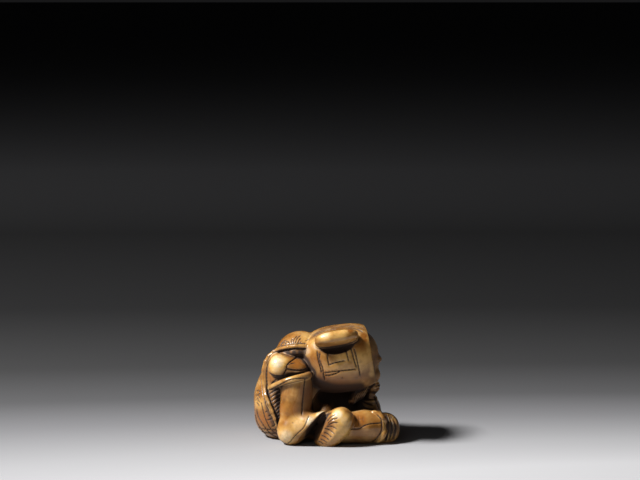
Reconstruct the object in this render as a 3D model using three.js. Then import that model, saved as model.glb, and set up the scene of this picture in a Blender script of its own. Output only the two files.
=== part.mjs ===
// A netsuke: a small toggle carved from one piece of ivory. It shows a sage asleep, seated on the ground
// with one booted leg drawn up and the other folded flat, the hooded head resting on the left hand.
//
// The carving is one closed surface. It is written as a signed distance in millimetres, negative inside,
// that blends rounded masses as a carver rounds one form into the next. The surface is then followed
// through a grid of tetrahedra and thinned to the fewest triangles that keep its form.
//
// Frame: +Z up, the underside on z = 0, the boots towards -Y and the face towards +X.
import * as THREE from "three";

// ---------------------------------------------------------------- driving dimensions, millimetres
const GRID = 0.42; // spacing of the grid that the surface is followed through
const TRIANGLES = 8600; // what the finished surface is thinned to

// ---------------------------------------------------------------- vectors
const sub = (a, b) => [a[0] - b[0], a[1] - b[1], a[2] - b[2]];
const dot = (a, b) => a[0] * b[0] + a[1] * b[1] + a[2] * b[2];
const cross = (a, b) => [a[1] * b[2] - a[2] * b[1], a[2] * b[0] - a[0] * b[2], a[0] * b[1] - a[1] * b[0]];
const long = (a) => Math.hypot(a[0], a[1], a[2]);
const unit = (a) => a.map((c) => c / long(a));
const mix = (a, b, t) => a + (b - a) * t;
const clamp = (t, low, high) => Math.min(high, Math.max(low, t));

// ---------------------------------------------------------------- a carver's forms
// Joins two distances with a fillet about as wide as `soft`.
const join = (a, b, soft) => {
  const h = Math.max(soft - Math.abs(a - b), 0) / soft;
  return Math.min(a, b) - h * h * soft * 0.25;
};
const cut = (a, tool, soft) => -join(-a, tool, soft);
const meet = (a, b, soft) => -join(-a, -b, soft);

// Three axes turned from the row's own: about Z, then Y, then X, in degrees.
function turned(aboutX, aboutY, aboutZ) {
  const rad = Math.PI / 180;
  const m = new THREE.Matrix4().makeRotationFromEuler(
    new THREE.Euler(aboutX * rad, aboutY * rad, aboutZ * rad, "ZYX"),
  ).elements;
  return [m.slice(0, 3), m.slice(4, 7), m.slice(8, 11)];
}
const LEVEL = turned(0, 0, 0);
const inside = (p, centre, axes) => {
  const d = sub(p, centre);
  return [dot(d, axes[0]), dot(d, axes[1]), dot(d, axes[2])];
};

// An ellipsoid, or with square above 2 one that fills out towards its box.
function lump(p, centre, radii, axes = LEVEL, square = 2) {
  const q = inside(p, centre, axes);
  const reach = long(q);
  if (reach < 1e-6) return -Math.min(...radii);
  const f = Math.pow(
    Math.pow(Math.abs(q[0] / radii[0]), square) +
      Math.pow(Math.abs(q[1] / radii[1]), square) +
      Math.pow(Math.abs(q[2] / radii[2]), square),
    1 / square,
  );
  return reach * (1 - 1 / f);
}

// A limb through [x, y, z, radius] stations, tapering evenly between them.
function limb(p, stations, soft = 0.01) {
  let d = Infinity;
  for (let i = 0; i + 1 < stations.length; i++) {
    const a = stations[i];
    const b = stations[i + 1];
    const along = sub(b, a);
    const t = clamp(dot(sub(p, a), along) / dot(along, along), 0, 1);
    const off = Math.hypot(p[0] - mix(a[0], b[0], t), p[1] - mix(a[1], b[1], t), p[2] - mix(a[2], b[2], t));
    d = join(d === Infinity ? 1e3 : d, off - mix(a[3], b[3], t), soft);
  }
  return d;
}

// The side of a plane: negative behind it.
const behind = (p, point, normal) => dot(sub(p, point), normal);

// ---------------------------------------------------------------- the robe
function torso(p) {
  const seat = lump(p, [-5.9, 3.4, 7.3], [13.8, 11.2, 8.6], LEVEL, 2.9);
  const back = lump(p, [-6.0, 3.6, 13.6], [12.4, 10.4, 10.4]);
  const thigh = limb(p, [
    [-1, 4, 6, 6.4],
    [7.6, 4.5, 5.0, 5.0],
    [12.8, 1.0, 3.6, 3.4],
  ], 2);
  const shoulder = lump(p, [-7.2, 0.2, 22.9], [6.5, 6.4, 5.9], turned(0, -8, 0));
  const sleeve = lump(p, [-10.4, -0.4, 17.4], [6.9, 6.4, 7.3], LEVEL, 2.2);
  return join(join(join(join(seat, back, 4), thigh, 4), sleeve, 1.5), shoulder, 0.8);
}

// Where the robe's surface lies at x, z, looking in along Y from the side given: -1 the front, 1 the back.
function surfaceAt(side, x, z) {
  let y = 18;
  while (y > 0 && torso([x, side * y, z]) > 0) y -= 0.05;
  return side * y;
}

// Looked at from the front and LOOK degrees above, a place on the carving is `across` to the right and `up`.
const LOOK = (10 * Math.PI) / 180;
const LEAN = Math.cos(LOOK);
const LIFT = Math.sin(LOOK);

// Where that line of sight first meets the form, sunk a little into it.
function met(form, across, up, sink) {
  const at = (into) => [across, LEAN * into + LIFT * up, LEAN * up - LIFT * into];
  let into = -20;
  while (into < 12 && form(at(into)) > 0) into += 0.04;
  return at(into + sink);
}

// A flowing line through the stations, with steps places to each stretch.
function smooth(stations, steps = 4) {
  const last = stations.length - 1;
  const beyond = (end, next) => end.map((c, k) => 2 * c - next[k]);
  const run = [beyond(stations[0], stations[1]), ...stations, beyond(stations[last], stations[last - 1])];
  const line = [];
  for (let i = 1; i <= last; i++)
    for (let step = 0; step < steps; step++) {
      const t = step / steps;
      line.push(
        run[i].map((b, k) => {
          const [a, c, d] = [run[i - 1][k], run[i + 1][k], run[i + 2][k]];
          const bend = (2 * a - 5 * b + 4 * c - d) * t * t + (3 * b - a - 3 * c + d) * t * t * t;
          return b + ((c - a) * t + bend) / 2;
        }),
      );
    }
  return [...line, stations[last]];
}

// The rolled hem of the robe's opening, from the collar over the shoulder and down to the ground.
const HEM_RADIUS = 0.7;
const HEM = [
  [-5.6, 24.2],
  [-8.2, 24.3],
  [-10.3, 24.0],
  [-12.4, 23.5],
  [-14.0, 22.7],
  [-15.4, 21.5],
  [-16.3, 20.0],
  [-16.8, 18.0],
  [-16.9, 16.0],
  [-16.7, 13.6],
  [-16.2, 11.0],
  [-15.4, 8.8],
  [-14.5, 6.7],
  [-13.7, 4.8],
  [-13.1, 3.0],
  [-12.6, 1.2],
  [-12.4, -0.6],
].map(([across, up]) => [...met(torso, across, up, -0.1), HEM_RADIUS]);

// Folds that fall over the back and come to the ground.
const FOLD_RADIUS = 1.6;
const FOLDS = [
  [[3.4, 15.0], [0.6, 10.6], [-3.6, 6.8], [-8.6, 4.4]],
  [[6.4, 10.4], [4.0, 6.8], [0.6, 4.4], [-3.4, 3.0]],
  [[-12.6, 19.6], [-13.6, 14.4], [-12.6, 9.4], [-9.6, 5.4]],
].map((fold) => fold.map(([x, z]) => [x, surfaceAt(1, x, z) - 1.0, z, FOLD_RADIUS]));

function robe(p) {
  const recess = limb(p, [
    [-5.2, -9.9, 20.4, 5.0],
    [-11.0, -9.6, 19.4, 5.2],
    [-11.2, -11.2, 13.0, 5.3],
    [-9.6, -12.6, 5.6, 5.4],
  ], 1);
  const lap = lump(p, [3.6, -6.6, 10.0], [7.4, 8.6, 5.6]);
  let d = torso(p);
  for (const fold of FOLDS) d = join(d, limb(p, fold, 1), 1.4);
  return cut(join(cut(d, recess, 0.6), limb(p, HEM, 0.3), 0.45), lap, 1);
}

// ---------------------------------------------------------------- the raised leg
function raisedKnee(p) {
  const knee = lump(p, [-12.2, -6.0, 20.3], [3.5, 4.9, 3.2], turned(0, 16, 0), 2.6);
  const fold = lump(p, [-8.2, -6.3, 19.9], [3.3, 4.4, 2.6], turned(0, 10, 0), 2.3);
  const cloth = lump(p, [-9.4, -4.8, 17.2], [5.4, 5.4, 3.9]);
  return join(join(knee, fold, 1.6), cloth, 0.8);
}

const CUFF = smooth([
  [-15.2, -7.2, 14.6, 0.65],
  [-13.4, -9.6, 15.9, 0.7],
  [-11.2, -11.4, 17.1, 0.75],
  [-8.4, -12.1, 18.0, 0.8],
  [-5.8, -11.0, 18.4, 0.85],
  [-4.5, -8.4, 18.5, 0.85],
]);
function raisedBoot(p) {
  const shaft = limb(p, [
    [-8.1, -7.8, 16.0, 4.3],
    [-8.3, -8.4, 9, 4.05],
    [-8.9, -9.4, 4.0, 3.8],
  ], 1);
  const foot = limb(p, [
    [-9.5, -10.2, 3.5, 3.6],
    [-5.0, -10.7, 5.2, 3.7],
    [-1.6, -11.0, 6.6, 3.2],
  ], 1.5);
  const sole = behind(p, [-5.4, -11.0, 3.4], unit([0.72, -0.3, -0.62]));
  const instep = behind(p, [-1.6, -12.0, 9.0], unit([-0.14, 0.1, 1]));
  const top = behind(p, [-8.1, -7.8, 18.0], unit([-0.25, 0, 1]));
  const wedge = meet(meet(foot, instep, 0.8), sole, 0.3);
  return join(join(meet(shaft, top, 0.8), wedge, 1.6), limb(p, CUFF, 0.3), 0.5);
}

// ---------------------------------------------------------------- the folded leg
function foldedBoot(p) {
  const shaft = limb(p, [
    [5.2, -9.0, 4.2, 4.1],
    [10, -8.2, 4.3, 4.3],
    [14.4, -7.0, 4.1, 4.3],
  ], 1);
  const end = behind(p, [14.6, -7.0, 4.2], unit([1, 0.25, 0]));
  const foot = lump(p, [1.8, -11.4, 4.5], [4.0, 3.9, 6.5], turned(0, 42, -16), 2.4);
  const sole = behind(p, [-1.6, -12.2, 4.6], unit([-0.86, -0.3, 0.4]));
  const fan = lump(p, [-1.4, -16.4, 3.2], [2.9, 2.3, 5.4], turned(0, 34, 0));
  const gown = lump(p, [-0.3, -8.6, 7.0], [2.3, 3.0, 3.6], LEVEL, 1.8);
  const boot = join(meet(shaft, end, 0.8), cut(meet(foot, sole, 0.5), fan, 0.5), 0.6);
  return join(boot, gown, 0.5);
}

// The cloth gathered over the folded knee in pleats, and the ring that the boot's cuff makes against it.
function bunch(p) {
  return lump(p, [15.5, -5.2, 3.4], [3.8, 4.9, 4.1], turned(0, 0, 14), 2.3);
}
const PLEAT_RADIUS = 0.42;
const PLEATS = [
  [
    [15.5, 6.2],
    [16.1, 4.4],
    [16.2, 2.2],
    [15.9, 0.6],
    [15.5, -1.0],
  ],
  [
    [16.7, 6.0],
    [17.3, 4.2],
    [17.3, 2.2],
    [17.0, 0.6],
    [16.6, -1.0],
  ],
  [
    [17.9, 4.9],
    [18.4, 3.5],
    [18.3, 1.8],
    [18.0, 0.6],
    [17.5, -0.8],
  ],
].map((pleat) => pleat.map(([across, up]) => [...met(bunch, across, up, -0.1), PLEAT_RADIUS]));
function gather(p) {
  return PLEATS.reduce((d, pleat) => cut(d, limb(p, pleat, 0.1), 0.35), bunch(p));
}
const kneeEnd = (p) => Math.min(foldedBoot(p), gather(p));
const RING_RADIUS = 0.7;
const RING = smooth(
  [
    [12.4, 6.6],
    [13.6, 6.1],
    [14.8, 5.2],
    [15.6, 3.9],
    [15.7, 2.2],
    [15.2, 0.5],
    [14.2, -0.9],
  ].map(([across, up]) => [...met(kneeEnd, across, up, 0.1), RING_RADIUS]),
);

// ---------------------------------------------------------------- the head
// A plain old man's face in a draughtsman's proportions: the eyes half way down the head, the brow, the
// base of the nose and the chin a third of the face apart, and the head five eyes wide.
const HEAD = { centre: [6.3, 2.2, 20.6], axes: turned(4, 8, 28) };
const CHIN = -8.5; // below the middle of the head, along its own upright
const EYE = 2.7; // how wide an eye is, and the nose, and how far each eye's middle is from the nose
const BROW_LINE = 1.3;
const NOSE_BASE = (BROW_LINE + CHIN) / 2;
const MOUTH_LINE = NOSE_BASE + (CHIN - NOSE_BASE) / 3;
function head(p) {
  const q = inside(p, HEAD.centre, HEAD.axes); // forward, to the left, up
  const side = [q[0], Math.abs(q[1]), q[2]];
  const skull = lump(q, [0, 0, 0.4], [7.4, 6.7, 8.3], LEVEL, 2.3);
  const brow = lump(side, [6.0, EYE * 0.9, BROW_LINE + 0.2], [1.7, EYE, 1.2]);
  const nose = limb(q, [
    [6.9, 0, BROW_LINE - 0.4, EYE * 0.26],
    [7.9, 0, NOSE_BASE + 2.2, EYE * 0.34],
    [8.1, 0, NOSE_BASE + EYE * 0.46, EYE * 0.46],
  ], 0.5);
  const cheek = lump(side, [5.6, EYE * 1.2, NOSE_BASE + 0.6], [2.2, 2.4, 2.4]);
  const socket = lump(side, [8.1, EYE, 0.3], [1.7, EYE * 0.7, 1.0]);
  const eye = lump(side, [6.1, EYE, 0.1], [1.2, EYE * 0.6, 0.9]);
  const moustache = limb(side, [
    [7.6, 0.5, NOSE_BASE - 0.6, 0.7],
    [7.0, 2.3, MOUTH_LINE, 0.6],
    [5.8, 3.9, MOUTH_LINE - 1.6, 0.5],
  ], 0.4);
  const lip = lump(q, [6.6, 0, MOUTH_LINE - 0.4], [1.2, EYE * 0.55, 0.6]);
  const chin = lump(q, [5.4, 0, CHIN + 1.7], [2.2, EYE, 1.7]);
  let d = join(join(skull, brow, 1.0), cheek, 0.8);
  d = join(cut(d, socket, 0.6), eye, 0.3);
  d = join(join(d, nose, 0.6), chin, 1.0);
  return join(join(d, lip, 0.4), moustache, 0.4);
}

const HOOD = { centre: [4.2, -0.3, 21.6], radii: [11.2, 9.7, 8.9], axes: turned(0, -7, 4) };
const RIM = { point: [11.8, -3, 23.1], normal: unit([0.97, 0.1, 0.17]) };
function hood(p) {
  const bag = lump(p, HOOD.centre, HOOD.radii, HOOD.axes, 2.7);
  const rim = behind(p, RIM.point, RIM.normal);
  const mouth = lump(inside(p, HEAD.centre, HEAD.axes), [1.5, 0, 0.2], [9.5, 7.5, 8.5], LEVEL, 2.4);
  const hollow = lump(p, [2.7, -10.8, 26.7], [5.5, 3.0, 2.5], turned(0, -8, 0));
  return cut(cut(meet(bag, rim, 0.25), hollow, 0.4), Math.max(mouth, -2.2 - rim), 0.25);
}

// The two side pieces of the hood: the near one is turned up, the far one lies flat.
function flaps(p) {
  const near = lump(p, [2.5, -9.8, 28.4], [5.9, 4.5, 1.95], turned(-16, -9, 4), 2.7);
  const far = lump(p, [2.2, 8.9, 22.6], [4.4, 1.2, 5.4], turned(10, -7, 4), 2.6);
  return Math.min(near, far);
}

// ---------------------------------------------------------------- the propping arm
function arm(p) {
  const sleeve = limb(p, [
    [1.4, 9.4, 17.0, 5.0],
    [6.8, 8.6, 10.6, 4.6],
    [10.4, 5.2, 6.6, 3.8],
    [12.2, 0.6, 4.6, 3.0],
  ], 2);
  const cuff = meet(
    limb(p, [
      [10.6, 4.4, 5.4, 3.0],
      [11.4, 2.4, 11.0, 2.4],
    ]),
    behind(p, [11.4, 2.4, 10.4], unit([0.1, -0.3, 1])),
    0.5,
  );
  return join(sleeve, cuff, 1.2);
}
function hand(p) {
  const wrist = limb(p, [
    [11.5, 2.6, 9.0, 1.3],
    [11.9, 2.6, 12.0, 1.4],
  ]);
  const palm = lump(p, [12.2, 2.9, 13.4], [1.9, 2.6, 1.9], turned(0, 10, 28), 2.4);
  return join(wrist, palm, 0.6);
}

function beard(p) {
  return limb(p, [
    [9.6, 2.6, 14.4, 2.6],
    [8.2, -0.4, 12.2, 2.0],
    [6.8, -2.6, 10.2, 1.0],
  ], 1);
}

// ---------------------------------------------------------------- the cord holes
function cordHoles(p) {
  return limb(p, [
    [-3.0, 17.5, 13.6, 1.9],
    [-3.0, 11.0, 11.8, 1.7],
    [-3.2, 10.2, 8.8, 1.5],
    [-3.4, 16.5, 5.6, 1.5],
  ], 0.6);
}

// ---------------------------------------------------------------- the whole carving
function carving(p) {
  let d = robe(p);
  d = join(d, arm(p), 1.2);
  d = cut(d, cordHoles(p), 0.5);
  d = join(d, raisedKnee(p), 0.5);
  d = join(d, raisedBoot(p), 0.5);
  d = join(d, foldedBoot(p), 0.5);
  d = join(d, gather(p), 0.5);
  d = join(d, limb(p, RING, 0.3), 0.3);
  d = join(d, join(hood(p), flaps(p), 0.6), 0.5);
  d = join(d, head(p), 0.4);
  d = join(d, beard(p), 0.6);
  d = join(d, hand(p), 0.5);
  return Math.max(d, -p[2]);
}

// ---------------------------------------------------------------- following the surface
// Marches the six tetrahedra of every grid cube, which leaves no gap and no doubled face.
const TETRAHEDRA = [
  [0, 1, 3, 7],
  [0, 3, 2, 7],
  [0, 2, 6, 7],
  [0, 6, 4, 7],
  [0, 4, 5, 7],
  [0, 5, 1, 7],
];

function surfaceOf(field, low, high, step) {
  const n = [0, 1, 2].map((k) => Math.ceil((high[k] - low[k]) / step) + 1);
  const at = (i) => {
    const x = i % n[0];
    const y = Math.floor(i / n[0]) % n[1];
    const z = Math.floor(i / (n[0] * n[1]));
    return [low[0] + x * step, low[1] + y * step, low[2] + z * step];
  };
  const value = new Float64Array(n[0] * n[1] * n[2]);
  for (let i = 0; i < value.length; i++) value[i] = field(at(i)) || 1e-9;
  const vertices = [];
  const triangles = [];
  const made = new Map();
  const crossing = (a, b) => {
    const key = a < b ? a * value.length + b : b * value.length + a;
    if (!made.has(key)) {
      const pa = at(a);
      const pb = at(b);
      const along = (t) => [0, 1, 2].map((k) => mix(pa[k], pb[k], t));
      let [near, far] = [0, 1];
      for (let halving = 0; halving < 6; halving++) {
        const half = (near + far) / 2;
        if (field(along(half)) < 0 === value[a] < 0) near = half;
        else far = half;
      }
      made.set(key, vertices.length);
      vertices.push(along(clamp((near + far) / 2, 0.03, 0.97)));
    }
    return made.get(key);
  };
  const corner = [0, 1, 2, 3, 4, 5, 6, 7].map(
    (c) => (c & 1) + ((c >> 1) & 1) * n[0] + ((c >> 2) & 1) * n[0] * n[1],
  );
  for (let z = 0; z + 1 < n[2]; z++)
    for (let y = 0; y + 1 < n[1]; y++)
      for (let x = 0; x + 1 < n[0]; x++) {
        const base = x + y * n[0] + z * n[0] * n[1];
        for (const tetrahedron of TETRAHEDRA) {
          const t = tetrahedron.map((c) => base + corner[c]);
          const solid = t.filter((i) => value[i] < 0);
          if (solid.length === 0 || solid.length === 4) continue;
          const empty = t.filter((i) => value[i] >= 0);
          const ring =
            solid.length === 2
              ? [[solid[0], empty[0]], [solid[0], empty[1]], [solid[1], empty[1]], [solid[1], empty[0]]]
              : solid.length === 1
                ? empty.map((e) => [solid[0], e])
                : solid.map((s) => [s, empty[0]]);
          const v = ring.map(([s, e]) => crossing(s, e));
          const out = sub(at(empty[0]), at(solid[0]));
          const normal = cross(
            sub(vertices[v[1]], vertices[v[0]]),
            sub(vertices[v[2]], vertices[v[0]]),
          );
          if (dot(normal, out) < 0) v.reverse();
          triangles.push([v[0], v[1], v[2]]);
          if (v.length === 4) triangles.push([v[0], v[2], v[3]]);
        }
      }
  return { vertices, triangles };
}

// Keeps the outer skin and drops any small bubble that the blends close in.
function outerSkin({ vertices, triangles }) {
  const parent = vertices.map((_, v) => v);
  const root = (v) => {
    while (parent[v] !== v) v = parent[v] = parent[parent[v]];
    return v;
  };
  for (const [a, b, c] of triangles) {
    parent[root(b)] = root(a);
    parent[root(c)] = root(a);
  }
  const size = new Map();
  for (const [a] of triangles) size.set(root(a), (size.get(root(a)) || 0) + 1);
  const skin = [...size].sort((a, b) => b[1] - a[1])[0][0];
  return { vertices, triangles: triangles.filter(([a]) => root(a) === skin) };
}

// ---------------------------------------------------------------- thinning the surface
// Folds up the edge that moves the surface least, again and again, by the squared distances from the
// planes of the triangles met so far.
function thin({ vertices, triangles }, target) {
  const planes = vertices.map(() => new Float64Array(10));
  const ring = vertices.map(() => new Set());
  triangles.forEach((t, id) => {
    const n = cross(sub(vertices[t[1]], vertices[t[0]]), sub(vertices[t[2]], vertices[t[0]]));
    const size = long(n);
    if (size > 0) {
      const [a, b, c] = n.map((x) => x / size);
      const d = -dot([a, b, c], vertices[t[0]]);
      const q = [a * a, a * b, a * c, a * d, b * b, b * c, b * d, c * c, c * d, d * d];
      for (const v of t) for (let k = 0; k < 10; k++) planes[v][k] += q[k] * size;
    }
    for (const v of t) ring[v].add(id);
  });
  const error = (q, [x, y, z]) =>
    q[0] * x * x + 2 * q[1] * x * y + 2 * q[2] * x * z + 2 * q[3] * x + q[4] * y * y +
    2 * q[5] * y * z + 2 * q[6] * y + q[7] * z * z + 2 * q[8] * z + q[9];
  const best = (q, a, b) => {
    const det =
      q[0] * (q[4] * q[7] - q[5] * q[5]) - q[1] * (q[1] * q[7] - q[5] * q[2]) +
      q[2] * (q[1] * q[5] - q[4] * q[2]);
    const middle = a.map((c, k) => (c + b[k]) / 2);
    const choices = [a, b, middle];
    if (Math.abs(det) > 1e-7) {
      const r = [-q[3], -q[6], -q[8]];
      const point = [
        (r[0] * (q[4] * q[7] - q[5] * q[5]) - q[1] * (r[1] * q[7] - q[5] * r[2]) +
          q[2] * (r[1] * q[5] - q[4] * r[2])) / det,
        (q[0] * (r[1] * q[7] - r[2] * q[5]) - r[0] * (q[1] * q[7] - q[5] * q[2]) +
          q[2] * (q[1] * r[2] - r[1] * q[2])) / det,
        (q[0] * (q[4] * r[2] - q[5] * r[1]) - q[1] * (q[1] * r[2] - r[1] * q[2]) +
          r[0] * (q[1] * q[5] - q[4] * q[2])) / det,
      ];
      if (long(sub(point, middle)) < 2 * long(sub(a, b))) choices.push(point);
    }
    let chosen = null;
    for (const c of choices) {
      const e = error(q, c);
      if (!chosen || e < chosen.e) chosen = { e, c };
    }
    return chosen;
  };
  // A binary heap of edges, cheapest first. An entry is stale once either end has moved.
  const heap = [];
  const moved = new Uint32Array(vertices.length);
  const push = (item) => {
    let i = heap.push(item) - 1;
    while (i > 0) {
      const up = (i - 1) >> 1;
      if (heap[up].e <= heap[i].e) break;
      [heap[up], heap[i]] = [heap[i], heap[up]];
      i = up;
    }
  };
  const pop = () => {
    const top = heap[0];
    const last = heap.pop();
    if (heap.length) {
      heap[0] = last;
      let i = 0;
      for (;;) {
        let s = 2 * i + 1;
        if (s >= heap.length) break;
        if (s + 1 < heap.length && heap[s + 1].e < heap[s].e) s++;
        if (heap[i].e <= heap[s].e) break;
        [heap[i], heap[s]] = [heap[s], heap[i]];
        i = s;
      }
    }
    return top;
  };
  const neighbours = (v) => {
    const found = new Set();
    for (const id of ring[v]) for (const w of triangles[id]) if (w !== v) found.add(w);
    return found;
  };
  const offer = (a, b) => {
    const q = planes[a].map((x, k) => x + planes[b][k]);
    const { e, c } = best(q, vertices[a], vertices[b]);
    const length = long(sub(vertices[a], vertices[b]));
    push({ e: e + 1e-4 * length * length, a, b, c, seen: moved[a] + moved[b] * 4294967296 });
  };
  vertices.forEach((_, v) => {
    for (const w of neighbours(v)) if (v < w) offer(v, w);
  });
  const turnsOver = (v, other, c) => {
    for (const id of ring[v]) {
      const t = triangles[id];
      if (t.includes(other)) continue;
      const [a, b, d] = t.map((w) => vertices[w]);
      const [e, f, g] = t.map((w) => (w === v ? c : vertices[w]));
      const before = cross(sub(b, a), sub(d, a));
      const after = cross(sub(f, e), sub(g, e));
      if (dot(before, after) < 0.5 * long(before) * long(after)) return true;
      const slim = (n, ...sides) => long(n) / Math.max(...sides.map((s) => dot(s, s)));
      const was = slim(before, sub(b, a), sub(d, a), sub(d, b));
      const is = slim(after, sub(f, e), sub(g, e), sub(g, f));
      if (is < 0.07 && is < was * 0.9) return true;
    }
    return false;
  };
  let left = triangles.length;
  while (left > target && heap.length) {
    const { a, b, c, seen } = pop();
    if (seen !== moved[a] + moved[b] * 4294967296 || !ring[a].size || !ring[b].size) continue;
    const near = neighbours(b);
    const shared = [...neighbours(a)].filter((w) => near.has(w));
    if (shared.length !== 2 || turnsOver(a, b, c) || turnsOver(b, a, c)) continue;
    vertices[a] = c;
    planes[b].forEach((x, k) => (planes[a][k] += x));
    for (const id of ring[b]) {
      const t = triangles[id];
      if (t.includes(a)) {
        for (const w of t) if (w !== b) ring[w].delete(id);
        triangles[id] = null;
        left--;
      } else {
        t[t.indexOf(b)] = a;
        ring[a].add(id);
      }
    }
    ring[b] = new Set();
    moved[a]++;
    moved[b]++;
    for (const w of neighbours(a)) {
      offer(a, w);
    }
  }
  const kept = triangles.filter(Boolean);
  const place = new Map();
  for (const v of kept.flat()) if (!place.has(v)) place.set(v, place.size);
  return {
    vertices: [...place.keys()].map((v) => vertices[v]),
    triangles: kept.map((t) => t.map((v) => place.get(v))),
  };
}

// ---------------------------------------------------------------- the mesh
const fine = surfaceOf(carving, [-21.2, -17.3, -1.3], [20.9, 17.2, 34.2], GRID);
const { vertices, triangles } = thin(outerSkin(fine), TRIANGLES);
for (const v of vertices) if (v[2] < 0.05) v[2] = 0; // the underside is one true plane
const geometry = new THREE.BufferGeometry();
geometry.setAttribute("position", new THREE.Float32BufferAttribute(vertices.flat(), 3));
geometry.setIndex(triangles.flat());
geometry.computeBoundingBox();
const { min, max } = geometry.boundingBox;
geometry.translate(-(min.x + max.x) / 2, -(min.y + max.y) / 2, -min.z); // centred, standing on z = 0
geometry.computeVertexNormals();

const ivory = new THREE.MeshStandardMaterial({ color: 0xd9a860, roughness: 0.3, metalness: 0 });
const netsuke = new THREE.Mesh(geometry, ivory);
netsuke.name = "netsuke";
const group = new THREE.Group();
group.add(netsuke);
export default group;
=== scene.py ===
"""A netsuke, a toggle about 39 mm across carved from one piece of ivory. It shows a sage asleep, seated on
the ground with one booted leg drawn up and the other folded flat, the hooded head propped on the left hand.

The rough form is the one that the model's solid gives. Here the carver goes over it again with fine tools:
each form is worked finer, the lines are cut with a graver and stained, and the whole is polished."""
import math

import bpy
import numpy as np
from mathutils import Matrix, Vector


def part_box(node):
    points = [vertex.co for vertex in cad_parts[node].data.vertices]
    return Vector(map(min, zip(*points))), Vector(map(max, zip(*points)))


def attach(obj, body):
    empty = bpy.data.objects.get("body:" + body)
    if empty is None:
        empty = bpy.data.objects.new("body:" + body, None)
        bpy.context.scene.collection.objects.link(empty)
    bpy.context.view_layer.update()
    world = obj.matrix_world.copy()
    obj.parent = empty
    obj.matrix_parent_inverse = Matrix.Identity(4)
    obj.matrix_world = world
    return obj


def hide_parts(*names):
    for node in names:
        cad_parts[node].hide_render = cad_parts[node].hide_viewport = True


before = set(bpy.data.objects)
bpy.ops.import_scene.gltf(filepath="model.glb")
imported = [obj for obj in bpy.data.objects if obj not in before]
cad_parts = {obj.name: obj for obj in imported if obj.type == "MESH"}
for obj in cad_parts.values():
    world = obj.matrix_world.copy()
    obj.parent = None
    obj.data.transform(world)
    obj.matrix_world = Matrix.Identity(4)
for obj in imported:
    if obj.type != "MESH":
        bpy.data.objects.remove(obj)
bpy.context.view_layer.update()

# ------------------------------------------------------------ the view
# A long lens stands 60 cm off, a little above the table, so that the small carving is seen almost without
# perspective. It points above the carving and a little to its left, so the carving lies low in the view.
MM = 0.001
VIEW_FROM = 600 * MM
LOOKS_DOWN = math.radians(10)
AIMED_ABOVE, AIMED_LEFT = 38.502 * MM, 1.674 * MM
CARVING_MIDDLE = Vector((0, -1 * MM, 15 * MM))

lens = bpy.data.cameras.new("long_lens")
lens.sensor_width = 36
lens.lens = 125
lens.clip_start = 10 * MM
lens.clip_end = 50
camera = bpy.data.objects.new("camera", lens)
bpy.context.scene.collection.objects.link(camera)
backward = Vector((0, -math.cos(LOOKS_DOWN), math.sin(LOOKS_DOWN)))
upward = Vector((0, math.sin(LOOKS_DOWN), math.cos(LOOKS_DOWN)))
aim = upward * AIMED_ABOVE - Vector((AIMED_LEFT, 0, 0)) - backward * VIEW_FROM
camera.location = CARVING_MIDDLE + backward * VIEW_FROM
camera.rotation_euler = aim.normalized().to_track_quat("-Z", "Y").to_euler()
bpy.context.scene.camera = camera

# ------------------------------------------------------------ the paper and the lamps
# Backdrop paper lies under the carving with a pool of light painted into its colour, pale where the viewer
# stands and falling off darker towards the back. One small soft lamp stands up on the left, and a pale card
# in front and a dim room fill the shadows.
PAPER_HALF = 30  # half its side in metres, far past what is seen
PAINTED_LIGHT_POOL_TONES = [
    (0.47, "c0c0c3"),
    (0.53, "a4a4a7"),
    (0.58, "7c7c7f"),
    (0.62, "565658"),
    (0.67, "3c3c3d"),
    (0.76, "242425"),
    (0.88, "1e1e1f"),
    (1.0, "3a3a3c"),
]


def linear(code, alpha=1.0):
    """The linear colour of an sRGB hex code such as "c8a064"."""
    tones = [int(code[k : k + 2], 16) / 255 for k in (0, 2, 4)]
    return [t / 12.92 if t <= 0.04045 else ((t + 0.055) / 1.055) ** 2.4 for t in tones] + [alpha]


def node(tree, kind, inputs=None, stops=(), **settings):
    """Adds a node. Its inputs are linked to sockets or set to values, and a ramp gets (place, colour) stops."""
    made = tree.nodes.new(kind)
    for name, value in settings.items():
        setattr(made, name, value)
    for name, value in (inputs or {}).items():
        if isinstance(value, bpy.types.NodeSocket):
            tree.links.new(value, made.inputs[name])
        else:
            made.inputs[name].default_value = value
    for k, (place, code) in enumerate(stops):
        steps = made.color_ramp.elements
        step = steps[k] if k < len(steps) else steps.new(place)
        step.position = place
        step.color = linear(code)
    return made


def paper_with_painted_light_pool():
    """Matt paper with a painted pool of light: pale near the carving, falling off to dark further away.
    A soft ground with no horizon and hardly any gloss.
    """
    made = bpy.data.materials.new("paper_with_painted_light_pool")
    made.use_nodes = True
    tree = made.node_tree
    tree.nodes.clear()
    # the painted pool of light follows how far a place is from a point just before the carving, in wide ovals
    place = node(tree, "ShaderNodeTexCoord").outputs["Object"]
    oval = node(
        tree, "ShaderNodeMapping", {"Vector": place, "Location": (-0.04, 0.08, 0), "Scale": (0.35, 1, 0)}
    ).outputs["Vector"]
    far = node(tree, "ShaderNodeVectorMath", {0: oval}, operation="LENGTH").outputs["Value"]
    # the painted light falls off fast at first, so the ramp runs on the fourth root of the way
    root = node(tree, "ShaderNodeMath", {0: far, 1: 0.25}, operation="POWER").outputs[0]
    tone = node(tree, "ShaderNodeValToRGB", {"Fac": root}, PAINTED_LIGHT_POOL_TONES).outputs["Color"]
    paper = node(
        tree, "ShaderNodeBsdfPrincipled", {"Base Color": tone, "Roughness": 0.9, "Specular IOR Level": 0.1}
    )
    node(tree, "ShaderNodeOutputMaterial", {"Surface": paper.outputs[0]})
    return made


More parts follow.
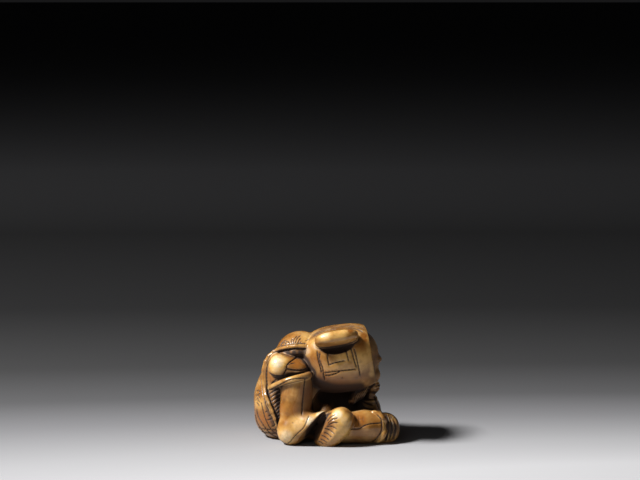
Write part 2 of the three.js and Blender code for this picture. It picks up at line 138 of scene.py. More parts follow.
def lamp(name, way, distance, size, power, code):
    """A square lamp with its middle along `way` from the carving, facing it."""
    light = bpy.data.lights.new(name, "AREA")
    light.shape = "SQUARE"
    light.size = size
    light.energy = power
    light.color = linear(code)[:3]
    made = bpy.data.objects.new(name, light)
    bpy.context.scene.collection.objects.link(made)
    way = Vector(way).normalized()
    made.location = way * distance + Vector((0, 0, CARVING_MIDDLE.z))
    made.rotation_euler = (-way).to_track_quat("-Z", "Y").to_euler()


sheet = bpy.data.meshes.new("paper")
sheet_corners = [(x * PAPER_HALF, y * PAPER_HALF, 0) for x, y in ((-1, -1), (1, -1), (1, 1), (-1, 1))]
sheet.from_pydata(sheet_corners, [], [(0, 1, 2, 3)])
paper = bpy.data.objects.new("paper", sheet)
bpy.context.scene.collection.objects.link(paper)
sheet.materials.append(paper_with_painted_light_pool())

lamp("main_lamp", (-0.66, -0.2, 0.74), distance=1.0, size=0.2, power=21.0, code="fffefc")
lamp("pale_card", (-0.3, -0.9, 0.4), distance=0.7, size=0.3, power=0.2, code="fffefc")
lamp("room_behind", (0.6, 0.8, 0.3), distance=0.8, size=0.5, power=0.07, code="f6f8ff")
world = bpy.data.worlds.new("dim_room")
world.use_nodes = True
world.node_tree.nodes["Background"].inputs["Color"].default_value = linear("c8c8cc")
world.node_tree.nodes["Background"].inputs["Strength"].default_value = 0.015
bpy.context.scene.world = world
bpy.context.scene.view_settings.view_transform = "Standard"


# ------------------------------------------------------------ the robe
# The heavy robe covers the back, the left shoulder and the seat. A rolled hem runs from the collar over the
# shoulder to the ground, and the forms are blended into each other as a knife rounds them.
# Every form is a distance in millimetres to its surface, negative inside, over a 3 x N array of points.
def join(a, b, soft):
    """The two forms as one, with the inner corner between them rounded over `soft` millimetres."""
    h = np.maximum(soft - np.abs(a - b), 0) / soft
    return np.minimum(a, b) - h * h * (soft * 0.25)


def cut(a, tool, soft):
    """The form with the tool's shape taken out of it."""
    return -join(-a, tool, soft)


def meet(a, b, soft):
    """What the two forms share."""
    return -join(-a, -b, soft)


def turned(about_x, about_y, about_z):
    """Three axes turned about X, then Y, then Z, in degrees."""
    x, y, z = (math.radians(a) for a in (about_x, about_y, about_z))
    rx = np.array([[1, 0, 0], [0, math.cos(x), -math.sin(x)], [0, math.sin(x), math.cos(x)]])
    ry = np.array([[math.cos(y), 0, math.sin(y)], [0, 1, 0], [-math.sin(y), 0, math.cos(y)]])
    rz = np.array([[math.cos(z), -math.sin(z), 0], [math.sin(z), math.cos(z), 0], [0, 0, 1]])
    return (rz @ ry @ rx).T.astype(np.float32)


LEVEL = turned(0, 0, 0)


def inside(p, centre, axes):
    """The points as seen from a centre, along its own axes."""
    return axes @ (p - np.array(centre, np.float32)[:, None])


def lump(p, centre, radii, axes=LEVEL, square=2):
    """An ellipsoid, or with square above 2 one that fills out towards its box."""
    q = np.abs(inside(p, centre, axes)) + np.float32(1e-5)
    scaled = q / np.array(radii, np.float32)[:, None]
    if square == 2:
        f = np.sqrt((scaled * scaled).sum(0))
    else:
        f = np.power(np.power(scaled, np.float32(square)).sum(0), np.float32(1 / square))
    return np.sqrt((q * q).sum(0)) * (1 - 1 / f)


def limb(p, stations, soft=0.01):
    """A limb through x, y, z, radius stations, tapering evenly between them."""
    d = None
    for a, b in zip(stations, stations[1:]):
        start = np.array(a[:3], np.float32)
        along = np.array(b[:3], np.float32) - start
        off = p - start[:, None]
        t = np.clip((along @ off) / np.float32(along @ along), 0, 1)
        off = off - along[:, None] * t
        piece = np.sqrt((off * off).sum(0)) - (a[3] + (b[3] - a[3]) * t)
        d = piece if d is None else join(d, piece, soft)
    return d


def behind(p, point, normal):
    """What lies behind a plane."""
    normal = np.array(normal, np.float32) / np.float32(math.hypot(*normal))
    return normal @ (p - np.array(point, np.float32)[:, None])


def torso(p):
    seat = lump(p, [-5.9, 3.4, 7.3], [13.8, 11.2, 8.6], LEVEL, 2.9)
    back = lump(p, [-6.0, 3.6, 13.6], [12.4, 10.4, 10.4])
    thigh = limb(p, [[-1, 4, 6, 6.4], [7.6, 4.5, 5.0, 5.0], [12.8, 1.0, 3.6, 3.4]], 2)
    shoulder = lump(p, [-7.2, 0.2, 22.9], [6.5, 6.4, 5.9], turned(0, -8, 0))
    sleeve = lump(p, [-10.4, -0.4, 17.4], [6.9, 6.4, 7.3], LEVEL, 2.2)
    return join(join(join(join(seat, back, 4), thigh, 4), sleeve, 1.5), shoulder, 0.8)


def surface_at(side, x, z):
    """Where the robe's surface lies at x, z, looking in along Y: side -1 is the front, 1 the back."""
    y = np.arange(18, 0, -0.05, dtype=np.float32)
    column = np.stack([np.full_like(y, x), side * y, np.full_like(y, z)])
    solid = torso(column) < 0
    return side * float(y[np.argmax(solid)])


# Seen from the front and 10 degrees above, a place on the carving is `across` to the right and `up`.
LEAN, LIFT = math.cos(LOOKS_DOWN), math.sin(LOOKS_DOWN)


def met(form, across, up, sink=0.0):
    """Where the line of sight first meets the form, sunk a little into it."""
    into = np.arange(-20, 12, 0.04, dtype=np.float32)
    sight = np.stack([np.full_like(into, across), LEAN * into + LIFT * up, LEAN * up - LIFT * into])
    first = into[np.argmax(form(sight) < 0)] + sink
    return [across, LEAN * first + LIFT * up, LEAN * up - LIFT * first]


def smooth(stations, steps=4):
    """A flowing line through the stations, whatever each holds."""
    stations = np.array(stations, float)
    before, after = 2 * stations[0] - stations[1], 2 * stations[-1] - stations[-2]
    run = np.concatenate([[before], stations, [after]])
    out = []
    for k in range(1, len(run) - 2):
        for t in np.arange(steps) / steps:
            a, b, c, d = run[k - 1 : k + 3]
            bend = (2 * a - 5 * b + 4 * c - d) * t * t + (3 * b - a - 3 * c + d) * t**3
            out.append(b + ((c - a) * t + bend) / 2)
    return np.array(out + [stations[-1]])


HEM = [
    (-5.6, 24.2), (-8.2, 24.3), (-10.3, 24.0), (-12.4, 23.5), (-14.0, 22.7), (-15.4, 21.5), (-16.3, 20.0),
    (-16.8, 18.0), (-16.9, 16.0), (-16.7, 13.6), (-16.2, 11.0), (-15.4, 8.8), (-14.5, 6.7), (-13.7, 4.8),
    (-13.1, 3.0), (-12.6, 1.2), (-12.4, -0.6),
]
HEM_ROLL = [[*met(torso, across, up, -0.1), 0.7] for across, up in HEM]
FOLDS = [
    [(3.4, 15.0), (0.6, 10.6), (-3.6, 6.8), (-8.6, 4.4)],
    [(6.4, 10.4), (4.0, 6.8), (0.6, 4.4), (-3.4, 3.0)],
    [(-12.6, 19.6), (-13.6, 14.4), (-12.6, 9.4), (-9.6, 5.4)],
]
FOLD_ROLLS = [[[x, surface_at(1, x, z) - 1.0, z, 1.6] for x, z in fold] for fold in FOLDS]


def robe(p):
    over_knee = [[-5.2, -9.9, 20.4, 5.0], [-11.0, -9.6, 19.4, 5.2]]
    recess = limb(p, over_knee + [[-11.2, -11.2, 13.0, 5.3], [-9.6, -12.6, 5.6, 5.4]], 1)
    lap = lump(p, [3.6, -6.6, 10.0], [7.4, 8.6, 5.6])
    d = torso(p)
    for roll in FOLD_ROLLS:
        d = join(d, limb(p, roll, 1), 1.4)
    return cut(join(cut(d, recess, 0.6), limb(p, HEM_ROLL, 0.3), 0.45), lap, 1)


# What the graver and the years add, with painted light and shade. The lines are cut and stained, and the
# patches are pale, for wear and for painted light where the lamp falls; amber; or dark, for dirt and for
# painted shade in hollows, under overhangs and on the sides away from the lamp. Each is drawn on one form, from
# one side, at (across, up) places.
lines, patches = [], []


def engrave(form, *courses, deep=0.2, wide=0.34, stain=1.0, side="front"):
    """Lines along flowing courses of (across, up) places."""
    for course in courses:
        lines.append((form, smooth(course), deep, wide, stain, side))


def tint(tone, form, *spots, side="front"):
    """Soft round patches, as (across, up, size, amount) spots."""
    for across, up, size, amount in spots:
        patches.append((tone, form, (across, up), size, amount, side))


def strip(course, steps, size, amount):
    """Spots so close along a course that they run together."""
    return [(across, up, size, amount) for across, up in smooth(course, steps)]


def beside(course, way):
    """The same line, moved a little to its right."""
    course = smooth(course, 1)
    along = np.gradient(course, axis=0)
    along /= np.linalg.norm(along, axis=1)[:, None]
    return course + way * np.stack([along[:, 1], -along[:, 0]], axis=1)


engrave(robe, beside(HEM, 0.7), deep=0.26, wide=0.4)
engrave(robe, beside(HEM, -0.7), deep=0.34, wide=0.55)
engrave(robe, [(-5.7, 25.7), (-4.6, 26.2), (-3.2, 26.4)], deep=0.15, wide=0.3, stain=0.7)

# the lining's fur: curved strokes between the hem and the boot, longer at the top
FUR_TOP, FUR_STEP, FUR_STROKES, FUR_ENDS = 12.9, 0.98, 12, -12.3
INSIDE_HEM_UP = [2.7, 4.5, 6.3, 8.4, 10.3, 12.1, 13.8]
INSIDE_HEM_ACROSS = [-13.0, -13.5, -13.9, -14.4, -15.2, -15.9, -16.2]
for k in range(FUR_STROKES):
    up = FUR_TOP - FUR_STEP * k
    start = float(np.interp(up, INSIDE_HEM_UP, INSIDE_HEM_ACROSS))
    middle = (start + FUR_ENDS) / 2 - 0.15
    rise = 1.3 + 0.04 * up
    engrave(robe, [(start + 0.25, up - 0.5), (middle, up + 0.3), (FUR_ENDS, up - 0.5 + rise)], wide=0.4)

# the torn lining below the hem, and the border along the ground
engrave(
    robe,
    [(-16.5, 6.7), (-15.9, 6.9)],
    [(-16.0, 4.5), (-14.5, 4.9)],
    [(-14.7, 2.8), (-13.8, 3.1)],
    [(-15.6, 5.6), (-14.9, 5.9)],
    [(-17.6, 9.2), (-16.8, 6.0), (-16.0, 3.9), (-14.9, 2.0), (-13.4, 0.8)],
    [(-19.4, 6.0), (-18.8, 3.9), (-17.7, 2.1), (-16.2, 0.5)],
)
engrave(
    robe,
    [(-18.9, 7.4), (-18.5, 5.6), (-17.6, 4.0), (-16.4, 2.3), (-15.1, 0.9), (-13.4, -0.1)],
    deep=0.22,
    wide=0.36,
)

# a curl and leaves woven into the left side, and a flame and curls on the shoulder
engrave(robe, [(-19.0, 12.3), (-18.5, 12.5), (-18.0, 12.1), (-18.2, 11.5), (-18.7, 11.5)])
engrave(
    robe,
    [(-18.9, 11.4), (-18.3, 10.9), (-17.9, 10.2)],
    [(-18.8, 10.6), (-18.2, 9.6)],
    [(-18.9, 9.2), (-18.4, 8.7), (-18.2, 8.2)],
    [(-8.9, 24.6), (-8.3, 25.4), (-7.9, 26.4), (-7.0, 27.2)],
    [(-8.4, 24.7), (-7.7, 25.2), (-7.3, 26.0), (-6.9, 26.4)],
    [(-9.0, 25.0), (-8.9, 25.8), (-8.4, 26.6), (-7.8, 27.0)],
    [(-8.0, 24.7), (-7.3, 24.9), (-6.9, 25.5)],
    [(-9.4, 25.2), (-9.5, 25.8), (-9.1, 26.3)],
    [(-12.5, 24.4), (-11.9, 25.1), (-11.2, 25.2), (-11.0, 24.7)],
    [(-11.2, 25.3), (-10.6, 25.6), (-10.1, 25.2), (-10.3, 24.7)],
    [(-12.3, 24.9), (-11.7, 25.6), (-10.9, 25.9)],
    deep=0.18,
    wide=0.32,
)
# Darker patches: painted shade over the lap, which the hood shades, and in the recess over the knee under the
# hem; the fur's ground and a strip outside the hem are darkened as well.
tint(
    "hollow",
    robe,
    *[(0.0, 11.5, 4.6, 1.0), (4.5, 9.5, 4.6, 1.0), (8.0, 8.5, 3.6, 0.9)],  # the lap
    *strip([(-13.8, 12.8), (-13.4, 9.0), (-12.9, 5.0)], 5, 1.3, 0.5),  # the fur
    *strip([(-16.3, 9.2), (-15.4, 6.2), (-14.3, 3.4)], 5, 0.8, 0.75),
    *[(-10.4, 22.6, 0.9, 0.9), (-8.8, 22.6, 0.9, 0.9), (-7.2, 22.6, 0.9, 0.9)],  # over the knee
    *[(-8.5, 22.6, 1.5, 0.7), (-6.2, 22.6, 1.6, 0.8)],
)
# Pale patches: wear along the hem's roll, and painted light on the lit top of the shoulder and the robe's left.
tint("wear_and_painted_light", robe, *strip(HEM, 3, 0.5, 0.3), (-5.0, 26.3, 2.0, 0.45), (-18.2, 9.0, 2.0, 0.35))
tint(
    "amber",
    robe,
    *[(-19.0, 5.0, 3.0, 0.5), (-16.6, 4.6, 2.2, 1.0), (-18.6, 12.0, 2.5, 0.4), (-9.5, 26.0, 2.4, 0.35)],
    *[(-12.6, 24.6, 2.2, 0.5), (-17.6, 17.0, 2.4, 0.55), (-17.4, 20.0, 1.8, 0.5)],
)


def cloud(across, up, size, side):
    """A curled cloud with a tail, woven into the cloth."""
    turns = np.linspace(0, 1, 8)
    reach = size * (0.35 + 0.65 * turns)
    angle = 7.5 * turns
    curl = np.stack([across + reach * np.cos(angle), up + reach * np.sin(angle)], axis=1)
    upper_tail = [(across - size, up - 0.5 * size), (across - 2.4 * size, up - 0.8 * size)]
    lower_tail = [(across - size, up - size), (across - 1.9 * size, up - 1.5 * size)]
    engrave(robe, curl, stain=0.9, side=side)
    engrave(robe, upper_tail, lower_tail, deep=0.18, wide=0.32, stain=0.9, side=side)


def flame(across, up, size, side):
    """Three licks of a flame."""
    for lean in (-0.5, 0.1, 0.7):
        middle = (across + 1.2 * lean * size - 0.25 * size, up + 0.7 * size)
        tip = (across + lean * size, up + (1.5 - abs(lean)) * size)
        engrave(robe, [(across, up), middle, tip], deep=0.18, wide=0.32, stain=0.9, side=side)


# the hidden sides: clouds and flames, two border lines along the ground, and the lines of the folds
cloud(-12.0, 17.0, 1.3, "back")
cloud(-5.0, 22.4, 1.1, "back")
cloud(3.0, 8.6, 1.2, "back")
cloud(-15.0, 7.4, 1.1, "back")
cloud(9.0, 5.6, 0.9, "back")
flame(-8.8, 10.4, 1.4, "back")
flame(-9.0, 22.0, 1.2, "back")
flame(6.4, 11.4, 1.2, "back")
cloud(4.6, 16.4, 1.2, "left")
cloud(-1.4, 11.0, 1.1, "left")
flame(4.0, 8.4, 1.3, "left")
for up in (1.7, 2.7):
    round_back = [(-18.0, up), (-9.0, up - 0.2), (0.0, up), (8.0, up - 0.2), (15.0, up - 0.1)]
    round_left = [(-9.0, up + 0.6), (0.0, up - 0.1), (10.5, up)]
    engrave(robe, round_back, wide=0.36, stain=0.9, side="back")
    engrave(robe, round_left, wide=0.36, stain=0.9, side="left")
for fold in FOLDS:
    engrave(robe, beside(fold, 1.5), beside(fold, -1.5), deep=0.22, wide=0.45, stain=0.7, side="back")
tint("hollow", robe, (-3.0, 13.6, 2.4, 0.5), (-3.0, 5.6, 2.4, 0.5), side="back")  # round the cord holes


# ------------------------------------------------------------ the raised leg
# The knee pushes up under the trousers as a rounded block, and the tall boot stands below it. The boot has
# a turned-over cuff and a toe that points up, with the seam of the sole along its side.
def raised_knee(p):
    knee = lump(p, [-12.2, -6.0, 20.3], [3.5, 4.9, 3.2], turned(0, 16, 0), 2.6)
    fold = lump(p, [-8.2, -6.3, 19.9], [3.3, 4.4, 2.6], turned(0, 10, 0), 2.3)
    cloth = lump(p, [-9.4, -4.8, 17.2], [5.4, 5.4, 3.9])
    return join(join(knee, fold, 1.6), cloth, 0.8)


CUFF = smooth(
    [
        [-15.2, -7.2, 14.6, 0.65],
        [-13.4, -9.6, 15.9, 0.7],
        [-11.2, -11.4, 17.1, 0.75],
        [-8.4, -12.1, 18.0, 0.8],
        [-5.8, -11.0, 18.4, 0.85],
        [-4.5, -8.4, 18.5, 0.85],
    ]
)


def raised_boot(p):
    shaft = limb(p, [[-8.1, -7.8, 16.0, 4.3], [-8.3, -8.4, 9, 4.05], [-8.9, -9.4, 4.0, 3.8]], 1)
    foot = limb(p, [[-9.5, -10.2, 3.5, 3.6], [-5.0, -10.7, 5.2, 3.7], [-1.6, -11.0, 6.6, 3.2]], 1.5)
    sole = behind(p, [-5.4, -11.0, 3.4], [0.72, -0.3, -0.62])
    instep = behind(p, [-1.6, -12.0, 9.0], [-0.14, 0.1, 1])
    cuff = limb(p, CUFF, 0.3)
    top = behind(p, [-8.1, -7.8, 18.0], [-0.25, 0, 1])
    wedge = meet(meet(foot, instep, 0.8), sole, 0.3)
    return join(join(meet(shaft, top, 0.8), wedge, 1.6), cuff, 0.5)


# the knee's creases, then the seams and folds of the boot
knee_crease = [(-8.0, 21.3), (-9.3, 20.4), (-10.5, 19.2), (-10.7, 18.2), (-11.5, 16.6)]
engrave(raised_knee, knee_crease, deep=0.3, wide=0.42)
engrave(raised_knee, [(-10.3, 19.3), (-9.4, 19.6), (-8.5, 19.7)], deep=0.16, wide=0.3)
engrave(raised_knee, [(-15.2, 17.0), (-14.2, 16.5), (-12.6, 16.3), (-11.2, 16.4)], deep=0.3, wide=0.5)
engrave(raised_knee, [(-10.6, 18.2), (-8.6, 17.8), (-6.6, 17.9), (-5.0, 18.4)], deep=0.3, wide=0.6)
engrave(raised_knee, [(-13.5, 15.4), (-14.4, 14.6), (-15.3, 13.8)], wide=0.5)
# Painted highlight on the lit knee, with wear.
tint("wear_and_painted_light", raised_knee, (-13.2, 20.0, 2.4, 0.9), (-11.8, 20.6, 1.6, 0.6), (-13.6, 18.2, 1.8, 0.6))
tint("amber", raised_knee, (-10.5, 21.8, 0.6, 1.3), (-9.3, 21.8, 0.4, 0.9), (-8.0, 19.6, 2.2, 0.9))
tint("amber", raised_knee, (-15.0, 15.6, 1.3, 0.9))
# Painted shade in the recess beside the knee's fold and under the hem over the knee.
tint("hollow", raised_knee, (-6.0, 21.0, 1.6, 0.7))
tint("hollow", raised_knee, (-10.0, 22.5, 0.7, 0.7), (-8.4, 22.5, 0.7, 0.7), (-6.8, 22.5, 0.7, 0.7))

engrave(
    raised_boot,
    [(-15.6, 12.4), (-13.6, 13.4), (-11.7, 14.4), (-9.7, 15.3), (-7.3, 15.7), (-5.0, 15.8)],
    [(-5.8, 15.9), (-6.1, 13.1), (-6.3, 11.2), (-6.5, 8.2), (-6.6, 6.0)],
    deep=0.22,
    wide=0.4,
)
toe_seam = [(-4.7, 5.9), (-5.3, 4.3), (-6.2, 2.6), (-7.6, 1.3)]
heel_seam = [(-8.9, 0.0), (-9.8, -1.1), (-10.8, -1.6), (-12.3, -1.0)]
engrave(raised_boot, toe_seam + heel_seam, deep=0.16, wide=0.32, stain=0.9)
engrave(raised_boot, [(-9.1, 4.0), (-8.9, 3.9)], deep=0.15)
# Amber tone of the boot; the patches on the shaft's right side and lower middle are painted shade in amber.
tint(
    "amber",
    raised_boot,
    *[(-5.2, 11.5, 2.2, 0.9), (-5.4, 7.0, 1.8, 0.8), (-10.6, 3.5, 2.6, 0.35), (-6.6, 2.4, 1.8, 0.4)],
    *[(-8.4, 7.2, 1.8, 0.5), (-11.8, 12.0, 1.3, 0.5), (-12.2, 8.0, 1.4, 0.6)],
)
# Painted highlights on the toe, the heel, the top of the foot, the shaft and the cuff, with wear.
tint(
    "wear_and_painted_light",
    raised_boot,
    *[(-4.4, 4.4, 2.0, 0.9), (-10.8, 0.6, 2.6, 0.75), (-7.6, 3.4, 2.8, 0.6)],
    *[(-9.6, 10.5, 2.0, 0.15), (-9.2, 15.8, 2.4, 0.35)],
)
# Painted shade down the shaft's right side, away from the lamp and under the hood.
tint("hollow", raised_boot, *strip([(-4.4, 15.2), (-4.6, 12.0), (-5.6, 9.0), (-6.4, 7.4)], 4, 2.7, 0.6))


# ------------------------------------------------------------ the folded leg
# The left leg lies flat across the front. Its boot shows the sole of the foot, turned up to the viewer, and
# its cuff stands as a ring at the right, where the cloth is gathered over the knee.
def folded_boot(p):
    shaft = limb(p, [[5.2, -9.0, 4.2, 4.1], [10, -8.2, 4.3, 4.3], [14.4, -7.0, 4.1, 4.3]], 1)
    end = behind(p, [14.6, -7.0, 4.2], [1, 0.25, 0])
    sole = behind(p, [-1.6, -12.2, 4.6], [-0.86, -0.3, 0.4])
    foot = lump(p, [1.8, -11.4, 4.5], [4.0, 3.9, 6.5], turned(0, 42, -16), 2.4)
    gown = lump(p, [-0.3, -8.6, 7.0], [2.3, 3.0, 3.6], LEVEL, 1.8)
    fan = lump(p, [-1.4, -16.4, 3.2], [2.9, 2.3, 5.4], turned(0, 34, 0))
    boot = join(meet(shaft, end, 0.8), cut(meet(foot, sole, 0.5), fan, 0.5), 0.6)
    return join(boot, gown, 0.5)


def bunch(p):
    cloth = lump(p, [15.5, -5.2, 3.4], [3.8, 4.9, 4.1], turned(0, 0, 14), 2.3)
    return meet(cloth, behind(p, [13.4, -9.0, 0.6], [-0.75, -0.35, -0.55]), 0.6)


PLEATS = [
    [(15.5, 6.2), (16.1, 4.4), (16.2, 2.2), (15.9, 0.6), (15.5, -1.0)],
    [(16.7, 6.0), (17.3, 4.2), (17.3, 2.2), (17.0, 0.6), (16.6, -1.0)],
    [(17.9, 4.9), (18.4, 3.5), (18.3, 1.8), (18.0, 0.6), (17.5, -0.8)],
]
PLEAT_CUTS = [smooth([[*met(bunch, *place, -0.1), 0.42] for place in pleat], 2) for pleat in PLEATS]


def gather(p):
    d = bunch(p)
    for pleat in PLEAT_CUTS:
        d = cut(d, limb(p, pleat, 0.1), 0.35)
    return d


def knee_end(p):
    return np.minimum(folded_boot(p), gather(p))


RING = [
    (12.4, 6.6, 0.6),
    (13.6, 6.1, 0.7),
    (14.7, 5.2, 0.7),
    (15.4, 3.9, 0.7),
    (15.5, 2.3, 0.7),
    (15.0, 0.7, 0.65),
    (13.9, -0.7, 0.5),
    (13.1, -1.4, 0.35),
]
RING_ROLL = smooth([[*met(knee_end, across, up, 0.1), radius] for across, up, radius in RING])


def boot_ring(p):
    return limb(p, RING_ROLL, 0.3)


# the pleats of the sole, which fan out from the instep towards the edge of the toe
engrave(
    folded_boot,
    [(-0.9, 4.2), (-0.8, 5.4), (-0.2, 6.2)],
    [(-0.3, 4.9), (0.2, 5.9), (1.2, 6.7)],
    [(0.1, 4.4), (1.0, 5.5), (2.2, 6.1)],
    [(0.2, 3.7), (1.4, 4.8), (2.8, 5.2)],
    [(0.4, 3.4), (1.7, 4.0), (2.9, 4.0)],
    [(0.0, 3.0), (1.3, 3.0), (2.6, 2.3)],
    [(-0.6, 2.5), (0.8, 2.0), (2.1, 1.0)],
    [(-0.7, 1.4), (0.3, 1.0), (1.3, 0.1)],
    [(-1.5, 0.7), (-0.4, 0.2), (0.7, -0.7)],
    [(-1.7, -0.3), (-0.8, -0.7), (0.1, -1.3)],
    [(-2.3, -0.9), (-1.6, -1.2), (-0.9, -1.7)],
    deep=0.22,
    wide=0.36,
)
# the seam along the shaft, the line inside the ring, and a small faint weave
engrave(folded_boot, [(6.3, 2.3), (8.4, 2.4), (9.6, 3.0), (10.9, 3.5), (12.1, 3.7), (14.9, 3.9)], wide=0.36)
engrave(
    folded_boot,
    [(13.4, 6.0), (14.3, 5.0), (14.6, 3.9), (14.6, 2.5), (14.1, 1.1), (13.1, -0.3), (12.3, -1.1)],
    deep=0.25,
    wide=0.4,
)
engrave(
    folded_boot,
    [(7.4, 5.6), (7.7, 4.3)],
    [(8.4, 5.8), (8.6, 4.4), (8.4, 3.4)],
    [(9.6, 5.6), (9.7, 4.2)],
    [(7.6, 4.7), (9.8, 5.0)],
    deep=0.08,
    wide=0.26,
    stain=0.5,
)
# Painted highlights on the rim of the upturned foot and on the lit shaft, with wear.
tint("wear_and_painted_light", folded_boot, (3.0, 6.2, 1.6, 0.9), (4.6, 4.6, 2.0, 0.6))
tint("wear_and_painted_light", folded_boot, (4.2, 1.8, 2.4, 0.5), (10.5, 5.6, 2.6, 0.35))
# Painted shade along the bottom of the shaft and on the part of the sole next to the raised boot, which shades
# it; the gown's tip and the sole are darkened as well.
tint("hollow", folded_boot, *[(across, -1.4, 2.2, 0.6) for across in (5.6, 7.6, 9.6, 11.6)])
tint("hollow", folded_boot, (-0.4, 8.4, 2.2, 0.6), (-0.6, 2.2, 1.5, 0.4))
tint("hollow", folded_boot, (-2.0, 2.2, 1.2, 0.5), (-1.0, 4.4, 1.2, 0.5))
tint("amber", folded_boot, (0.2, 3.6, 1.8, 0.8), (-0.9, 0.6, 1.8, 0.8), (9.0, 4.6, 2.4, 1.0))
tint("amber", folded_boot, (12.0, 5.4, 2.0, 0.6), (9.5, -0.4, 3.0, 0.4))
# stain in the pleats of the gathered cloth
engrave(
    gather,
    [(16.1, 4.4), (16.2, 2.2), (15.9, 0.6), (15.5, -0.6)],
    [(17.3, 4.2), (17.3, 2.2), (17.0, 0.6), (16.6, -0.6)],
    [(18.4, 3.5), (18.3, 1.8), (18.0, 0.6), (17.6, -0.5)],
    deep=0.05,
    wide=0.5,
)
tint("hollow", gather, (17.2, 2.5, 3.0, 0.8))


# ------------------------------------------------------------ the head
# An old man asleep. The face is a plain one in a draughtsman's proportions: the eyes half way down the
# head, the brow, the base of the nose and the chin a third of the face apart, and the head five eyes wide.
HEAD_CENTRE, HEAD_AXES = [6.3, 2.2, 20.6], turned(4, 8, 28)
CHIN = -8.5  # below the middle of the head, along its own upright
EYE = 2.7  # how wide an eye is, and the nose, and how far each eye's middle is from the nose
BROW_LINE = 1.3
NOSE_BASE = (BROW_LINE + CHIN) / 2
MOUTH_LINE = NOSE_BASE + (CHIN - NOSE_BASE) / 3


def head(p):
    q = inside(p, HEAD_CENTRE, HEAD_AXES)  # forward, to the left, up
    side = np.stack([q[0], np.abs(q[1]), q[2]])
    skull = lump(q, [0, 0, 0.4], [7.4, 6.7, 8.3], LEVEL, 2.3)
    brow = lump(side, [6.0, EYE * 0.9, BROW_LINE + 0.2], [1.7, EYE, 1.2])
    nose = limb(
        q,
        [
            [6.9, 0, BROW_LINE - 0.4, EYE * 0.26],
            [7.9, 0, NOSE_BASE + 2.2, EYE * 0.34],
            [8.1, 0, NOSE_BASE + EYE * 0.46, EYE * 0.46],
        ],
        0.5,
    )
    wing = lump(side, [7.6, EYE * 0.36, NOSE_BASE + 0.75], [1.0, 0.65, 0.7])
    cheek = lump(side, [5.6, EYE * 1.2, NOSE_BASE + 0.6], [2.2, 2.4, 2.4])
    socket = lump(side, [8.1, EYE, 0.3], [1.7, EYE * 0.7, 1.0])
    eye = lump(side, [6.1, EYE, 0.1], [1.2, EYE * 0.6, 0.9])
    lid = limb(side, [[7.1, 1.5, -0.25, 0.12], [7.4, EYE, -0.55, 0.14], [6.6, 4.0, -0.2, 0.12]], 0.1)
    moustache = limb(
        side,
        [[7.6, 0.5, NOSE_BASE - 0.6, 0.7], [7.0, 2.3, MOUTH_LINE, 0.6], [5.8, 3.9, MOUTH_LINE - 1.6, 0.5]],
        0.4,
    )
    lip = lump(q, [6.6, 0, MOUTH_LINE - 0.4], [1.2, EYE * 0.55, 0.6])
    chin = lump(q, [5.4, 0, CHIN + 1.7], [2.2, EYE, 1.7])
    d = join(join(skull, brow, 1.0), cheek, 0.8)
    d = cut(join(cut(d, socket, 0.6), eye, 0.3), lid, 0.12)
    d = join(join(join(d, nose, 0.6), wing, 0.25), chin, 1.0)
    return join(join(d, lip, 0.4), moustache, 0.4)


# ------------------------------------------------------------ the hood
# A soft cloth hood covers the head to the brow. Its front edge is cut straight, its near side flap is turned
# up and stands out like a shelf, and the far one lies flat.
HOOD_AXES = turned(0, -7, 4)
RIM_POINT, RIM_NORMAL = [11.8, -3, 23.1], [0.97, 0.1, 0.17]


def hood(p):
    bag = lump(p, [4.2, -0.3, 21.6], [11.2, 9.7, 8.9], HOOD_AXES, 2.7)
    rim = behind(p, RIM_POINT, RIM_NORMAL)
    mouth = lump(inside(p, HEAD_CENTRE, HEAD_AXES), [1.5, 0, 0.2], [9.5, 7.5, 8.5], LEVEL, 2.4)
    hollow = lump(p, [2.7, -10.8, 26.7], [5.5, 3.0, 2.5], turned(0, -8, 0))
    return cut(cut(meet(bag, rim, 0.25), hollow, 0.4), np.maximum(mouth, -2.2 - rim), 0.25)


def flaps(p):
    near = lump(p, [2.5, -9.8, 28.4], [5.9, 4.5, 1.95], turned(-16, -9, 4), 2.7)
    far = lump(p, [2.2, 8.9, 22.6], [4.4, 1.2, 5.4], turned(10, -7, 4), 2.6)
    return np.minimum(near, far)


# a stitched panel with a smaller one inside it, between pairs of braid lines, and a nick below them
engrave(
    hood,
    [(-2.6, 22.9), (-2.3, 20.8), (-1.8, 18.9), (-1.4, 17.2)],
    [(-1.8, 22.3), (-2.0, 20.6), (-1.1, 18.5), (-0.9, 16.7), (-0.5, 15.3)],
    [(0.2, 23.0), (0.2, 21.0), (0.6, 19.1)],
    [(0.6, 19.2), (1.7, 19.7), (2.8, 20.0), (4.8, 20.4)],
    [(5.0, 23.3), (5.4, 21.8), (5.8, 20.3)],
    [(6.4, 23.6), (7.1, 21.0), (7.9, 18.5)],
    [(7.2, 23.6), (7.9, 21.0), (8.5, 18.1), (8.8, 16.4)],
    [(-0.6, 17.1), (1.2, 17.4), (3.6, 17.7), (7.7, 18.2)],
    [(-0.5, 16.4), (1.2, 16.6), (2.7, 17.1), (3.6, 17.6)],
    deep=0.24,
    wide=0.44,
)
engrave(hood, [(3.8, 15.9), (4.3, 15.7)], deep=0.15)
for across, up in [(-2.2, 22.0), (-1.9, 20.4), (-1.5, 18.9), (-1.1, 17.4)]:
    engrave(hood, [(across - 0.35, up + 0.5), (across + 0.4, up - 0.4)], deep=0.14, wide=0.28, stain=0.8)
engrave(hood, [(11.0, 28.0), (11.7, 25.0), (12.3, 21.0), (12.9, 17.0)], deep=0.15, wide=0.4, stain=0.8)
